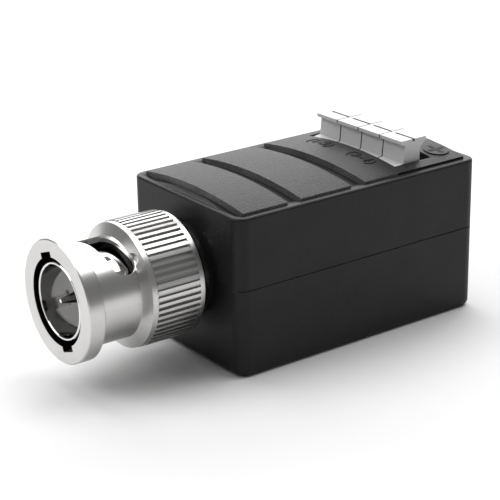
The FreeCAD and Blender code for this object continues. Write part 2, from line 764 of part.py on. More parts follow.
def bayonet_nut():
    """Coupling nut: front flange, slotted barrel, cone, fluted grip and rear rim."""
    body = new_body("bayonet_nut")
    edge = S.nut_edge_chamfer
    step = SHOULDER_FRONT + S.nut_step_clearance
    turned(body, (
        (S.nut_cavity_radius, S.nut_rear_gap), (S.nut_rim_radius - edge, S.nut_rear_gap),
        (S.nut_rim_radius, S.nut_rear_gap + edge), (S.nut_rim_radius, GRIP_BACK),
        (S.grip_radius, GRIP_BACK), (S.grip_radius, GRIP_FRONT), (S.grip_band_radius, GRIP_FRONT),
        (S.grip_band_radius, BAND_FRONT), (S.nut_barrel_radius, BARREL_BACK),
        (S.nut_barrel_radius, BARREL_FRONT), (S.nut_flange_radius - edge, BARREL_FRONT),
        (S.nut_flange_radius, BARREL_FRONT + edge), (S.nut_flange_radius, NUT_FRONT - edge),
        (S.nut_flange_radius - edge, NUT_FRONT), (S.nut_bore_radius, NUT_FRONT),
        (S.nut_bore_radius, step), (S.nut_cavity_radius, step)))
    # Groove for the retaining ring
    groove = body.newObject("PartDesign::Groove", "bayonet_nut_groove")
    sketch = new_sketch(body, "XZ_Plane")
    low, high = RING_BACK, RING_FRONT + S.running_gap
    outer = S.nut_cavity_radius + S.ring_groove_depth
    draw_outline(sketch, ((S.nut_cavity_radius - edge, low), (outer, low), (outer, high),
                          (S.nut_cavity_radius - edge, high)))
    groove.Profile = sketch
    groove.ReferenceAxis = (sketch, ["V_Axis"])
    groove.Angle = 360
    grow(body, groove)
    # Two helical cam slots whose outer edges are chamfered
    half = S.cam_width / 2
    wall_in, wall_out = S.nut_bore_radius - edge, S.nut_barrel_radius + edge
    chamfer_in = S.nut_barrel_radius - S.cam_chamfer
    flare = S.cam_chamfer + edge
    mouth = half + flare
    sketch = new_sketch(body, "XZ_Plane", turn=S.cam_detent_angle)
    draw_outline(sketch, ((wall_in, CAM_DETENT - half), (chamfer_in, CAM_DETENT - half),
                          (wall_out, CAM_DETENT - mouth), (wall_out, CAM_DETENT + mouth),
                          (chamfer_in, CAM_DETENT + half), (wall_in, CAM_DETENT + half)))
    cam = body.newObject("PartDesign::SubtractiveHelix", "bayonet_nut_cam")
    cam.Profile = sketch
    cam.ReferenceAxis = (sketch, ["V_Axis"])
    cam.Mode = "pitch-height-angle"
    bind(cam, "Pitch", S.cam_lead)
    bind(cam, "Height", S.cam_lead * S.cam_sweep_angle / 360)
    grow(body, cam)
    repeat_around(body, [cam], 2)
    # A round detent at the end of each slot, with the same chamfer
    outward = S.cam_detent_angle - 90
    across = Rotation(outward.value, 0, -90)
    detent = cylinder(body, (0, 0, CAM_DETENT), half, S.nut_flange_radius, across, cut=True)
    detent.setExpression("Placement.Rotation.Yaw", outward.text)
    repeat_around(body, [detent], 2)
    flared = body.newObject("PartDesign::SubtractiveCone", "bayonet_nut_detent_chamfer")
    bind(flared, "Radius1", half)
    bind(flared, "Radius2", mouth)
    bind(flared, "Height", flare)
    place(flared, (chamfer_in * cosine(S.cam_detent_angle), chamfer_in * sine(S.cam_detent_angle),
                   CAM_DETENT), across)
    flared.setExpression("Placement.Rotation.Yaw", outward.text)
    grow(body, flared)
    repeat_around(body, [flared], 2)
    # A groove that leads each of the socket's studs in from the front
    entry_angle = S.cam_detent_angle + S.cam_sweep_angle
    entry = body.newObject("PartDesign::SubtractiveBox", "bayonet_nut_entry")
    entry_low = CAM_DETENT + S.cam_lead * S.cam_sweep_angle / 360
    bind(entry, "Length", S.stud_groove_radius)
    bind(entry, "Width", S.stud_groove_width)
    bind(entry, "Height", NUT_FRONT - entry_low)
    half_groove = S.stud_groove_width / 2
    place(entry, (half_groove * sine(entry_angle), -half_groove * cosine(entry_angle), entry_low),
          Rotation(Vector(0, 0, 1), entry_angle.value))
    bind(entry, "Placement.Rotation.Angle", entry_angle)
    grow(body, entry)
    repeat_around(body, [entry], 2)
    # Flutes of the grip
    half_flute = S.flute_width / 2
    flute = box(body, (S.grip_radius - S.flute_depth, -half_flute, GRIP_BACK),
                (S.grip_radius + S.flute_depth, half_flute, GRIP_FRONT), cut=True)
    repeat_around(body, [flute], S.flute_count)
    on_plug_axis(body)
    return body


def thrust_washer():
    body = new_body("thrust_washer")
    inside = S.neck_radius + S.washer_clearance
    outside = S.nut_cavity_radius - S.washer_clearance
    turned(body, ((inside, WASHER_BACK), (outside, WASHER_BACK), (outside, WASHER_FRONT),
                  (inside, WASHER_FRONT)))
    on_plug_axis(body)
    return body


def retaining_ring():
    """A flat split ring that snaps into the nut's groove."""
    body = new_body("retaining_ring")
    outside = S.nut_cavity_radius + S.ring_groove_depth - S.running_gap
    inside = outside - S.ring_height
    turned(body, ((inside, RING_BACK), (outside, RING_BACK), (outside, RING_FRONT),
                  (inside, RING_FRONT)))
    sketch = new_sketch(body, "XY_Plane", RING_BACK - S.running_gap)
    reach = outside * 1.2
    half = S.ring_opening_angle / 2
    draw_outline(sketch, ((0, 0), (reach * sine(half), -reach * cosine(half)),
                          (-reach * sine(half), -reach * cosine(half))))
    pocket(body, sketch, S.ring_thickness + S.running_gap * 2, back=True)
    on_plug_axis(body)
    return body


def spring_washer(label, base, facing):
    """A dished washer whose inner rim is raised; facing is 1 or -1 along the plug."""
    body = new_body(label)
    inside = S.neck_radius + S.spring_washer_clearance
    outside = S.shoulder_radius - S.spring_washer_clearance
    rise, thick = S.spring_washer_rise * facing, S.spring_washer_thickness * facing
    turned(body, ((outside, base), (outside, base + thick), (inside, base + thick + rise),
                  (inside, base + rise)))
    on_plug_axis(body)
    return body


def circuit_board():
    body = new_body("circuit_board")
    half = INNER_HALF_WIDTH - S.board_side_gap
    sketch = new_sketch(body, "XY_Plane", BOARD_BOTTOM)
    front = -HALF_LENGTH + S.board_front
    rear = INNER_HALF_LENGTH - S.board_rear_gap
    draw_outline(sketch, ((-half, front), (half, front), (half, rear), (-half, rear)))
    pad(body, sketch, S.board_thickness)
    hole = S.tail_width / 2 + S.assembly_gap
    for pole in range(POLES):
        x = pole_x(pole)
        box(body, (x - hole, TAIL_Y - hole, BOARD_BOTTOM),
            (x + hole, TAIL_Y + hole, BOARD_TOP), cut=True)
    return body


def toroid(label, radius, hole, height, x, y):
    """A ferrite ring with broken edges, flat on the board."""
    body = new_body(label)
    edge = S.core_chamfer
    turned(body, ((hole, edge), (hole + edge, 0), (radius - edge, 0), (radius, edge),
                  (radius, height - edge), (radius - edge, height), (hole + edge, height),
                  (hole, height - edge)))
    place(body, (x, y, BOARD_TOP + S.wire_thickness))
    return body


def winding(label, radius, hole, height, x, y, start):
    """Turns of wire round a ring core, over part of its circle."""
    body = new_body(label)
    slack, wire = S.winding_slack, S.wire_thickness
    sketch = new_sketch(body, "XZ_Plane")
    for grown in (as_size(0), wire):
        left, right = hole - slack - grown, radius + slack + grown
        draw_outline(sketch, ((left, -grown), (right, -grown), (right, height + grown),
                              (left, height + grown)))
    turn = pad(body, sketch, wire, both=True)
    pattern = body.newObject("PartDesign::PolarPattern", f"{label}_turns")
    pattern.Originals = [turn]
    pattern.Axis = (origin_feature(body, "Z_Axis"), [""])
    bind(pattern, "Angle", S.winding_angle)
    bind(pattern, "Occurrences", S.wire_turn_count)
    grow(body, pattern)
    place(body, (x, y, BOARD_TOP + wire), Rotation(Vector(0, 0, 1), start))
    return body


def surge_arrester():
    """Ceramic tube between two metal caps, lying along Y on the board."""
    body = new_body("surge_arrester")
    half, cap = S.arrester_length / 2, S.arrester_cap_length
    turned(body, ((0, -half), (S.arrester_cap_radius, -half), (S.arrester_cap_radius, -half + cap),
                  (S.arrester_radius, -half + cap), (S.arrester_radius, half - cap),
                  (S.arrester_cap_radius, half - cap), (S.arrester_cap_radius, half), (0, half)))
    x = INNER_HALF_WIDTH - S.arrester_side_gap - S.arrester_cap_radius
    place(body, (x, -HALF_LENGTH + S.arrester_from_front, BOARD_TOP + S.arrester_cap_radius), ALONG_Y)
    return body


def line_resistor(index):
    """Flat chip resistor on the board."""
    body = new_body(f"line_resistor_{index + 1}")
    x = S.resistor_x + S.resistor_pitch * index
    y = -HALF_LENGTH + S.resistor_from_front
    half_width, half_length = S.resistor_width / 2, S.resistor_length / 2
    box(body, (x - half_width, y - half_length, BOARD_TOP),
        (x + half_width, y + half_length, BOARD_TOP + S.resistor_height))
    return body


def coupling_capacitor():
    body = new_body("coupling_capacitor")
    half_length, half_width = S.capacitor_length / 2, S.capacitor_width / 2
    x = -(INNER_HALF_WIDTH - S.capacitor_side_gap - half_length)
    y = -HALF_LENGTH + S.capacitor_from_front
    top = BOARD_TOP + S.capacitor_height
    box(body, (x - half_length, y - half_width, BOARD_TOP), (x + half_length, y + half_width, top))
    dress(body, "Chamfer", S.capacitor_chamfer, lambda edge: upright(edge) or level(edge, top))
    return body


def pole_x(pole):
    """Middle of one terminal, counted from the left."""
    return S.pole_pitch * (pole - (POLES - 1) / 2)


# Where the solder tails, the contacts and the levers stand along the box
TAIL_Y = BAY_REAR - S.assembly_gap * 2 - S.tail_depth * 2
CONTACT_REAR = BAY_REAR - S.assembly_gap * 2
CONTACT_FRONT = CONTACT_REAR - S.contact_length
LEVER_FOOT_FRONT = WINDOW_FRONT + S.lever_foot_front


def terminal_body():
    """Moulded block with one open bay for each pole, pivot holes and wire holes."""
    body = new_body("terminal_body")
    half = INNER_HALF_WIDTH - S.block_side_gap
    box(body, (-half, BLOCK_FRONT, BOARD_TOP), (half, BLOCK_REAR, BLOCK_TOP))
    nose_low = BOARD_TOP + S.nose_lift
    nose_half = ROW_HALF_WIDTH
    box(body, (-nose_half, BLOCK_REAR - S.block_rear_wall, nose_low),
        (nose_half, HALF_LENGTH - S.nose_recess, nose_low + S.nose_height))
    bay_half = S.bay_width / 2
    for pole in range(POLES):
        x = pole_x(pole)
        box(body, (x - bay_half, BAY_FRONT, BAY_FLOOR),
            (x + bay_half, BAY_REAR, BLOCK_TOP), cut=True)
        tail = S.tail_width / 2 + S.assembly_gap
        box(body, (x - tail, TAIL_Y - tail, BOARD_TOP),
            (x + tail, TAIL_Y + tail, BAY_FLOOR), cut=True)
        sketch = new_sketch(body, "XZ_Plane", -(HALF_LENGTH - S.nose_recess))
        draw_circle(sketch, x, WIRE_HEIGHT, S.wire_hole_radius)
        pocket(body, sketch, HALF_LENGTH - S.nose_recess - BAY_REAR + S.assembly_gap, back=True)
    mouth = HALF_LENGTH - S.nose_recess
    dress(body, "Chamfer", S.wire_funnel,
          lambda edge: isinstance(edge.Curve, Part.Circle)
          and abs(edge.Curve.Center.y - mouth.value) < 1e-4)
    hole_half = pole_x(POLES - 1) + bay_half + S.pivot_reach + S.assembly_gap * 2
    cylinder(body, (-hole_half, PIVOT_Y, PIVOT_Z), S.pivot_radius + S.pivot_clearance, hole_half * 2,
             ALONG_X, cut=True)
    return body


def contact_bar(pole):
    """Tinned strip on the floor of a bay, with a solder tail through the board."""
    body = new_body(f"contact_bar_{pole + 1}")
    x = pole_x(pole)
    half = S.contact_width / 2
    box(body, (x - half, CONTACT_FRONT, BAY_FLOOR), (x + half, CONTACT_REAR, CONTACT_TOP))
    tail = S.tail_width / 2
    box(body, (x - tail, TAIL_Y - S.tail_depth / 2, BOARD_BOTTOM - S.tail_reach),
        (x + tail, TAIL_Y + S.tail_depth / 2, BAY_FLOOR))
    return body


def clamp_spring(pole):
    """Bent strip that presses the wire on the contact bar: foot, upright and sloping tongue."""
    body = new_body(f"clamp_spring_{pole + 1}")
    thick = S.spring_thickness
    front = BAY_FRONT + S.assembly_gap * 2
    crown = WIRE_HEIGHT + S.wire_hole_radius
    tip_y = BAY_REAR - S.contact_length / 3
    foot_end = CONTACT_FRONT + S.contact_length / 3
    sketch = new_sketch(body, "YZ_Plane", pole_x(pole))
    draw_outline(sketch, (
        (foot_end, CONTACT_TOP), (foot_end, CONTACT_TOP + thick),
        (front + thick * 2, CONTACT_TOP + thick), (front + thick, CONTACT_TOP + thick * 2),
        (front + thick, crown - thick * 2),
        (front + thick * 2, crown - thick), (tip_y, WIRE_HEIGHT - thick),
        (tip_y + thick / 2, WIRE_HEIGHT), (front + thick * 2, crown), (front, crown - thick * 2),
        (front, CONTACT_TOP + thick * 2), (front + thick * 2, CONTACT_TOP)))
    pad(body, sketch, S.spring_width, both=True)
    return body


def push_lever(pole):
    """Lever of one terminal: finger tab, stem, foot in the window and arm down to the pivot."""
    body = new_body(f"lever_{pole + 1}")
    x = pole_x(pole)
    width = S.pole_pitch - S.lever_gap
    tab_top = LID_HEIGHT + S.lever_tab_height
    tab_low = tab_top - S.lever_tab_thickness
    tab_front = WINDOW_FRONT + S.lever_tab_front
    tab_rear = tab_front + S.lever_tab_depth
    foot_rear = LEVER_FOOT_FRONT + S.lever_foot_depth
    foot_top = LID_HEIGHT + S.panel_side_rise
    foot_low = foot_top - S.lever_foot_height
    stem_front = foot_rear - S.lever_stem_depth
    slope = S.lever_tab_thickness / 2
    sketch = new_sketch(body, "YZ_Plane", x)
    draw_outline(sketch, (
        (tab_front, tab_top), (tab_front, tab_low), (stem_front, tab_low - slope),
        (stem_front - slope, foot_top + slope), (LEVER_FOOT_FRONT, foot_top),
        (LEVER_FOOT_FRONT, foot_low), (foot_rear, foot_low), (foot_rear, tab_low - slope * 4),
        (tab_rear, tab_low), (tab_rear, tab_top)))
    pad(body, sketch, width, both=True)
    # Arm in the bay, ending in the toe over the spring
    toe_low = PIVOT_Z - S.lever_toe_drop
    arm_rear = ARM_FRONT + S.lever_arm_depth
    sketch = new_sketch(body, "YZ_Plane", x)
    draw_outline(sketch, (
        (ARM_FRONT, foot_low + S.pivot_clearance), (ARM_FRONT, PIVOT_Z - S.pivot_radius),
        (PIVOT_Y - S.pivot_radius, toe_low), (arm_rear, toe_low - S.pivot_radius / 2),
        (arm_rear + S.pivot_radius / 2, toe_low), (arm_rear, foot_low + S.pivot_clearance)))
    pad(body, sketch, S.lever_arm_width, both=True)
    reach = S.bay_width / 2 + S.pivot_reach
    cylinder(body, (x - reach, PIVOT_Y, PIVOT_Z), S.pivot_radius, reach * 2, ALONG_X)
    # Fine line on the tab, from near its left end to the next lever
    line_low = (tab_front + tab_rear - S.lever_line_width) / 2
    line_high = (tab_front + tab_rear + S.lever_line_width) / 2
    box(body, (x - width / 2 + S.lever_line_margin, line_low, tab_top - S.lever_line_depth),
        (x + width / 2, line_high, tab_top), cut=True)
    return body


def build_all():
    pieces = [lower_shell(), upper_shell(), connector_body(), contact_sleeve(), plug_dielectric(),
              centre_pin(), plug_gasket(), ground_lug(), bayonet_nut(), thrust_washer(),
              retaining_ring()]
    pieces.append(spring_washer("front_spring_washer", SHOULDER_BACK, -1))
    pieces.append(spring_washer("rear_spring_washer", WASHER_FRONT, 1))
    pieces.append(circuit_board())
    coil = S.winding_slack + S.wire_thickness
    core_x = -(INNER_HALF_WIDTH - S.core_side_gap - coil - S.core_radius)
    core_y = -HALF_LENGTH + S.core_from_front
    core = (S.core_radius, S.core_hole_radius, S.core_height, core_x, core_y)
    choke_x = INNER_HALF_WIDTH - S.choke_side_gap - coil - S.choke_radius
    choke_y = -HALF_LENGTH + S.choke_from_front
    choke = (S.choke_radius, S.choke_hole_radius, S.choke_height, choke_x, choke_y)
    pieces.append(toroid("transformer_core", *core))
    pieces.append(winding("primary_winding", *core, 25))
    pieces.append(winding("secondary_winding", *core, 205))
    pieces.append(toroid("choke_core", *choke))
    pieces.append(winding("choke_winding", *choke, 115))
    pieces.append(surge_arrester())
    pieces += [line_resistor(index) for index in range(2)]
    pieces.append(coupling_capacitor())
    pieces.append(terminal_body())
    for pole in range(POLES):
        pieces += [contact_bar(pole), clamp_spring(pole), push_lever(pole)]
    return pieces


def write_parts(pieces):
    """Checks every object, then writes one file for each piece."""
    doc.recompute()
    for item in doc.Objects:
        if "Invalid" in item.State or "Error" in item.State:
            raise RuntimeError(f"{item.Label} is {item.State}")
    for piece in pieces:
        if piece.Shape.isNull() or not piece.Shape.isValid() or not piece.Shape.Solids:
            raise RuntimeError(f"{piece.Label} has no sound shape")
    os.makedirs("parts", exist_ok=True)
    for piece in pieces:
        piece.Shape.exportStep(f"parts/{piece.Label}.step")
        print(f"{piece.Label}: {len(piece.Shape.Solids)} solid, {piece.Shape.Volume:.3f} mm3")


write_parts(build_all())
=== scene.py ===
import math

import bpy
from mathutils import Matrix, Vector


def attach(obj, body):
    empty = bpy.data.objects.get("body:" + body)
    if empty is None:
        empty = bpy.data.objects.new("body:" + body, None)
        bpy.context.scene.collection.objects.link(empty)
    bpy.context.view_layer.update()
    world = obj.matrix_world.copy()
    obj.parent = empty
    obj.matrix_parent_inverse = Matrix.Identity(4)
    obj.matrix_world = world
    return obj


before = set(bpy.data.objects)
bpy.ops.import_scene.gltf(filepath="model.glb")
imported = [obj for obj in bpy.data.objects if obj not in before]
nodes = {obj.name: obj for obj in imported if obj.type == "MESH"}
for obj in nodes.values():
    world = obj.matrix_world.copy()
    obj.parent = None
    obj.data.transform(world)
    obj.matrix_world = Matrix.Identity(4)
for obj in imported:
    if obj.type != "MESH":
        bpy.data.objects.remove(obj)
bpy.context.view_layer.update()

MM = 0.001
LID_HEIGHT = 18.9 * MM
ABOVE_LID = 22 * MM
PLUG_AXIS = 10.4 * MM
BOX_FRONT = -17.7 * MM
PLUG_FRONT = -34.2 * MM

# Terminals, counted from the left side of the box; the pitch is in millimetres
POLES = (1, 2, 3, 4)
POLE_PITCH = 3.95


# Camera, at the photograph's place

def add_camera():
    azimuth, elevation, roll = 53.8216, 20.8756, -0.9237
    sideways, upwards, back = -6.792, -1.1447, 197.3865
    focal_pixels, photo_pixels = 1639.962, 500
    turn = (Matrix.Rotation(math.radians(azimuth), 4, "Z")
            @ Matrix.Rotation(math.radians(90 - elevation), 4, "X")
            @ Matrix.Rotation(math.radians(roll), 4, "Z"))
    aim_height = LID_HEIGHT / 2 - 0.01 * MM
    step_back = Vector((sideways, upwards, back)) * MM
    lens = bpy.data.cameras.new("photo_camera")
    lens.sensor_width = 36
    lens.lens = focal_pixels * lens.sensor_width / photo_pixels
    lens.clip_start = 0.01
    camera = bpy.data.objects.new("photo_camera", lens)
    bpy.context.scene.collection.objects.link(camera)
    aim = Matrix.Translation((0, 0, aim_height))
    camera.matrix_world = aim @ turn @ Matrix.Translation(step_back)
    bpy.context.scene.camera = camera


# Studio: a white floor, a dim room, three soft boxes and a spot on the plug

def add_floor():
    width, just_below = 6, -0.02 * MM
    bpy.ops.object.select_all(action="DESELECT")
    bpy.ops.mesh.primitive_plane_add(size=width, location=(0, 0, just_below))
    floor = bpy.context.object
    floor.name = "studio_floor"
    material, shader = new_material("studio_white")
    shader.inputs["Base Color"].default_value = grey(0.75)
    shader.inputs["Roughness"].default_value = 0.9
    floor.data.materials.append(material)


def hang_lamp(lamp, target, step):
    """Puts a lamp one step away from its target and turns it to face the target."""
    light = bpy.data.objects.new(lamp.name, lamp)
    bpy.context.scene.collection.objects.link(light)
    light.location = target + step
    light.rotation_euler = step.to_track_quat("Z", "Y").to_euler()


def add_soft_box(name, towards, size, power):
    """A broad rectangular lamp that faces the middle of the box."""
    distance = 0.9
    lamp = bpy.data.lights.new(name, "AREA")
    lamp.shape = "RECTANGLE"
    lamp.size, lamp.size_y = size
    lamp.energy = power
    hang_lamp(lamp, Vector((0, 0, LID_HEIGHT / 2)), Vector(towards).normalized() * distance)


def add_plug_spot():
    """A narrow lamp before the plug that lights the white insulator inside it."""
    distance = 0.5
    towards = (0.04, -1, 0.1)
    lamp = bpy.data.lights.new("plug_spot", "SPOT")
    lamp.energy = 7.0
    lamp.spot_size = math.radians(1.1)
    lamp.spot_blend = 0.3
    lamp.shadow_soft_size = 0.001
    hang_lamp(lamp, Vector((0, PLUG_FRONT, PLUG_AXIS)), Vector(towards).normalized() * distance)


def add_studio():
    world = bpy.data.worlds.new("studio_room")
    bpy.context.scene.world = world
    world.use_nodes = True
    background = world.node_tree.nodes["Background"]
    background.inputs["Color"].default_value = grey(1)
    background.inputs["Strength"].default_value = 0.2
    bpy.context.scene.view_settings.view_transform = "Standard"
    add_floor()
    add_soft_box("back_left_box", towards=(-0.754, 0.551, 0.45), size=(1.3, 0.7), power=8.0)
    add_soft_box("top_box", towards=(-0.15, 0.2, 1), size=(1.3, 0.5), power=9.0)
    add_soft_box("front_left_box", towards=(-0.45, -0.9, 1.0), size=(0.7, 0.4), power=3.0)
    add_plug_spot()


# Small steps that the finishes are made of

def grey(value, warmth=0.0):
    return (value * (1 + warmth), value, value * (1 - warmth), 1)


def feed(tree, term, socket):
    """Links a socket from another one, or sets it to a fixed value."""
    if isinstance(term, bpy.types.NodeSocket):
        tree.links.new(term, socket)
    else:
        socket.default_value = term


def calculate(tree, operation, *terms):
    """The result of one sum, whose terms are sockets or numbers."""
    step = tree.nodes.new("ShaderNodeMath")
    step.operation = operation
    for term, socket in zip(terms, step.inputs):
        feed(tree, term, socket)
    return step.outputs[0]


def mixed(tree, factor, one, other, way="MIX"):
    """One colour mixed with another."""
    mix = tree.nodes.new("ShaderNodeMix")
    mix.data_type = "RGBA"
    mix.blend_type = way
    feed(tree, factor, mix.inputs["Factor"])
    feed(tree, one, mix.inputs["A"])
    feed(tree, other, mix.inputs["B"])
    return mix.outputs["Result"]


def noise(tree, place, scale, detail, roughness=0.5):
    """Soft random spots, as many to a metre as the scale says."""
    spots = tree.nodes.new("ShaderNodeTexNoise")
    spots.inputs["Detail"].default_value = detail
    spots.inputs["Roughness"].default_value = roughness
    feed(tree, place, spots.inputs["Vector"])
    feed(tree, scale, spots.inputs["Scale"])
    return spots.outputs["Fac"]


def object_place(tree):
    """The point's own place, which stays with the piece when it moves."""
    return tree.nodes.new("ShaderNodeTexCoord").outputs["Object"]


def split(tree, vector):
    """A vector's X, Y and Z."""
    parts = tree.nodes.new("ShaderNodeSeparateXYZ")
    feed(tree, vector, parts.inputs[0])
    return parts.outputs


def band(tree, value, low, high):
    """1 where a value lies between two lengths in millimetres, 0 elsewhere."""
    return calculate(tree, "COMPARE", value, (low + high) / 2 * MM, (high - low) / 2 * MM)


def both(tree, one, other):
    return calculate(tree, "MULTIPLY", one, other)


# Skins: the two surfaces that nearly every finish is made from

def new_group(name, inputs, outputs):
    """An empty node group with named sockets; returns it with its two end nodes."""
    group = bpy.data.node_groups.new(name, "ShaderNodeTree")
    kinds = {"colour": "NodeSocketColor", "value": "NodeSocketFloat", "vector": "NodeSocketVector"}
    for label, kind, default in inputs:
        socket = group.interface.new_socket(label, in_out="INPUT", socket_type=kinds[kind])
        socket.default_value = default
    for label, kind in outputs:
        group.interface.new_socket(label, in_out="OUTPUT", socket_type=kinds[kind])
    return group, group.nodes.new("NodeGroupInput"), group.nodes.new("NodeGroupOutput")


def place_group(tree, group, values=None):
    """Places a node group with its own values, and returns its outputs."""
    node = tree.nodes.new("ShaderNodeGroup")
    node.node_tree = group
    for label, value in (values or {}).items():
        feed(tree, value, node.inputs[label])
    return node.outputs


def end_skin(group, made, colour, grain, roughness, spread, depth, relief):
    """Puts out a skin's colour, a roughness that varies with its grain, and the grain's relief."""
    feed(group, colour, made.inputs["Colour"])
    smoothest = calculate(group, "SUBTRACT", roughness, spread / 2)
    feed(group, calculate(group, "MULTIPLY_ADD", grain, spread, smoothest), made.inputs["Roughness"])
    bump = group.nodes.new("ShaderNodeBump")
    bump.inputs["Distance"].default_value = relief
    feed(group, depth, bump.inputs["Strength"])
    feed(group, grain, bump.inputs["Height"])
    feed(group, bump.outputs["Normal"], made.inputs["Normal"])


def make_moulded_skin():
    """Spark-eroded mould texture: fine grains, with broad soft clouds of colour."""
    clouds_to_a_metre = 220
    grain_share, cloud_share = 0.6, 0.4
    mottle_low, mottle_high = 0.35, 0.65
    group, given, made = new_group(
        "moulded_skin",
        [("Dark", "colour", grey(0.02)), ("Light", "colour", grey(0.03)),
         ("Grain size", "value", 0.16 * MM), ("Depth", "value", 0.3), ("Roughness", "value", 0.5)],
        [("Colour", "colour"), ("Roughness", "value"), ("Normal", "vector")])
    place = object_place(group)
    fineness = calculate(group, "DIVIDE", 1, given.outputs["Grain size"])
    grain = noise(group, place, fineness, detail=2, roughness=0.55)
    clouds = noise(group, place, clouds_to_a_metre, detail=3)
    mottle = calculate(group, "MULTIPLY_ADD", grain, grain_share,
                       calculate(group, "MULTIPLY", clouds, cloud_share))
    contrast = group.nodes.new("ShaderNodeMapRange")
    contrast.inputs["From Min"].default_value = mottle_low
    contrast.inputs["From Max"].default_value = mottle_high
    feed(group, mottle, contrast.inputs["Value"])
    colour = mixed(group, contrast.outputs["Result"], given.outputs["Dark"], given.outputs["Light"])
    end_skin(group, made, colour, grain, given.outputs["Roughness"], spread=0.16,
             depth=given.outputs["Depth"], relief=0.08 * MM)
    return group


def make_round_the_plug():
    """Distance from the plug's axis, and distance forward from the box's front face."""
    group, given, made = new_group("round_the_plug", [], [("Radius", "value"), ("Reach", "value")])
    centred = group.nodes.new("ShaderNodeMapping")
    centred.inputs["Location"].default_value = (0, 0, -PLUG_AXIS)
    feed(group, object_place(group), centred.inputs["Vector"])
    flat = group.nodes.new("ShaderNodeVectorMath")
    flat.operation = "MULTIPLY"
    flat.inputs[1].default_value = (1, 0, 1)
    feed(group, centred.outputs["Vector"], flat.inputs[0])
    radius = group.nodes.new("ShaderNodeVectorMath")
    radius.operation = "LENGTH"
    feed(group, flat.outputs["Vector"], radius.inputs[0])
    feed(group, radius.outputs["Value"], made.inputs["Radius"])
    reach = calculate(group, "SUBTRACT", BOX_FRONT, split(group, centred.outputs["Vector"])["Y"])
    feed(group, reach, made.inputs["Reach"])
    return group


def make_turned_skin():
    """Lathe-turned and plated metal: faint rings round the plug's axis and a soft haze."""
    haze_to_a_metre = 500
    group, given, made = new_group(
        "turned_skin",
        [("Metal", "colour", grey(0.8)), ("Shade", "colour", grey(0.6)),
         ("Ring pitch", "value", 0.12 * MM), ("Depth", "value", 0.1), ("Roughness", "value", 0.2)],
        [("Colour", "colour"), ("Roughness", "value"), ("Normal", "vector")])
    plug = place_group(group, round_the_plug)
    along = group.nodes.new("ShaderNodeCombineXYZ")
    feed(group, plug["Radius"], along.inputs["X"])
    feed(group, plug["Reach"], along.inputs["Y"])
    fineness = calculate(group, "DIVIDE", 1, given.outputs["Ring pitch"])
    rings = noise(group, along.outputs[0], fineness, detail=3)
    haze = noise(group, object_place(group), haze_to_a_metre, detail=4)
    colour = mixed(group, haze, given.outputs["Metal"], given.outputs["Shade"])
    end_skin(group, made, colour, rings, given.outputs["Roughness"], spread=0.04,
             depth=given.outputs["Depth"], relief=0.004 * MM)
    return group


round_the_plug = make_round_the_plug()
moulded_skin = make_moulded_skin()
turned_skin = make_turned_skin()


# Finishes

def new_material(name):
    material = bpy.data.materials.new(name)
    material.use_nodes = True
    return material, material.node_tree.nodes["Principled BSDF"]


def dressed(name, skin, values, metallic=0.0, specular=0.5):
    """A material that takes colour, roughness and normal from one of the skins."""
    material, shader = new_material(name)
    tree = material.node_tree
    made = place_group(tree, skin, values)
    feed(tree, made["Colour"], shader.inputs["Base Color"])
    feed(tree, made["Roughness"], shader.inputs["Roughness"])
    feed(tree, made["Normal"], shader.inputs["Normal"])
    shader.inputs["Metallic"].default_value = metallic
    shader.inputs["Specular IOR Level"].default_value = specular
    return material


def plastic(name, dark, light, roughness, size=0.16, depth=0.3, specular=0.5):
    """Moulded plastic, rubber or ceramic, with its grain size in millimetres."""
    return dressed(name, moulded_skin, {"Dark": dark, "Light": light, "Grain size": size * MM,
                                        "Depth": depth, "Roughness": roughness}, specular=specular)


def metal(name, bright, shade, roughness, pitch=0.12, depth=0.1):
    """Turned or drawn metal, with the pitch of its rings in millimetres."""
    return dressed(name, turned_skin, {"Metal": bright, "Shade": shade, "Ring pitch": pitch * MM,
                                       "Depth": depth, "Roughness": roughness}, metallic=1.0)


def shade_where(material, mask, colour):
    """Multiplies the material's colour by another one where the mask is 1."""
    tree = material.node_tree
    base = tree.nodes["Principled BSDF"].inputs["Base Color"]
    feed(tree, mixed(tree, mask, base.links[0].from_socket, colour, "MULTIPLY"), base)


def paint_shade_ring(material, radii, reaches, left):
    """Paints shade on a ring round the plug's axis, darkening it to the share of its colour that is
    left.
    """
    tree = material.node_tree
    plug = place_group(tree, round_the_plug)
    ring = both(tree, band(tree, plug["Radius"], *radii), band(tree, plug["Reach"], *reaches))
    shade_where(material, ring, grey(left))


